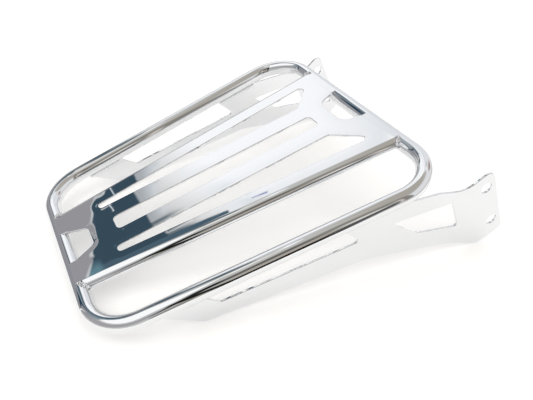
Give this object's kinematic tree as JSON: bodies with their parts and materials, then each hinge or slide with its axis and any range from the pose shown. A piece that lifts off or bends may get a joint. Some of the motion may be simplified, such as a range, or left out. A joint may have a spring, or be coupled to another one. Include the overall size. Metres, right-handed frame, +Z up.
{
  "type": "motorcycle luggage rack",
  "caption": "Chrome luggage rack: a tapered round-tube hoop carries a slotted sheet deck with rolled edges on flat cut-out side arms that bolt to the rear fender struts.",
  "frame": {"origin": "on the deck's top surface, midway between the rear and front runs of the hoop, on the middle plane", "axes": "+X to the mounting tabs at the front of the motorcycle, +Y to the motorcycle's left, +Z up from the deck"},
  "size_m": [0.3232, 0.2446, 0.1019],
  "materials": {
    "polished_chrome": "polished",
    "weld_chrome": "polished over the bead"
  },
  "bodies": {
    "root": {"hoop_tube": "polished_chrome", "deck_plate": "polished_chrome", "left_arm": "polished_chrome", "right_arm": "polished_chrome", "left_arm_front_weld": "weld_chrome", "left_arm_rear_weld": "weld_chrome", "right_arm_front_weld": "weld_chrome", "right_arm_rear_weld": "weld_chrome", "front_left_seam": "weld_chrome", "front_left_edge_weld": "weld_chrome", "front_right_seam": "weld_chrome", "front_right_edge_weld": "weld_chrome", "rear_left_seam": "weld_chrome", "rear_left_edge_weld": "weld_chrome", "rear_right_seam": "weld_chrome", "rear_right_edge_weld": "weld_chrome"}
  },
  "joints": []
}
